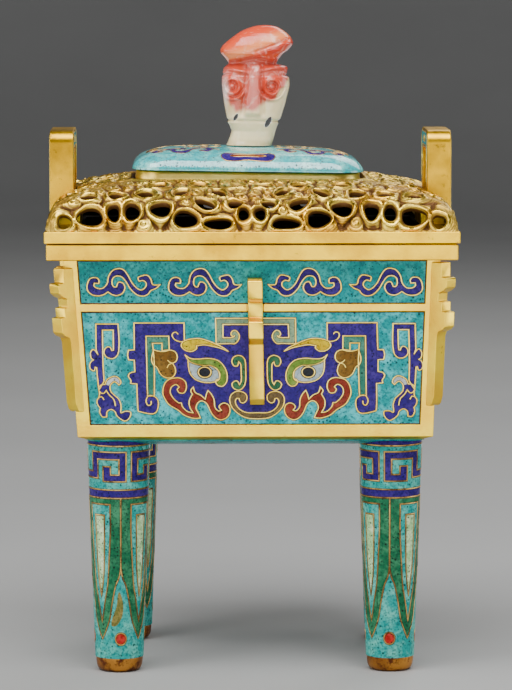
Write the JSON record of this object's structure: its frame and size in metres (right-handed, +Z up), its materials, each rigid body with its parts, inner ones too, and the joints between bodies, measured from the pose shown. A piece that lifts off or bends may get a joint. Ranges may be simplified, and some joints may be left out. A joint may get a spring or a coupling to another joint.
{
  "type": "cloisonne censer",
  "caption": "Rectangular censer on tapering round legs, with gilt rim, flanges and upright handles, an openwork domed lid, an enamelled plaque and a carved stone knob.",
  "frame": {"origin": "on the ground under the middle of the rim", "axes": "+Z up, front towards -Y, +X to the right of someone who faces the front"},
  "size_m": [0.1264, 0.099, 0.2002],
  "materials": {
    "enamel": "gloss",
    "gilt": "satin",
    "agate": "polished"
  },
  "bodies": {
    "root": {"vessel": "enamel", "rim": "gilt", "leg_front_left": "enamel", "leg_front_right": "enamel", "leg_rear_left": "enamel", "leg_rear_right": "enamel", "corner_flange_front_left": "gilt", "corner_flange_front_right": "gilt", "corner_flange_rear_left": "gilt", "corner_flange_rear_right": "gilt", "centre_flange_front": "gilt", "centre_flange_rear": "gilt", "centre_flange_left": "gilt", "centre_flange_right": "gilt", "handle_left": "gilt", "handle_right": "gilt", "lid": "gilt", "plaque": "enamel", "finial": "agate"}
  },
  "joints": []
}
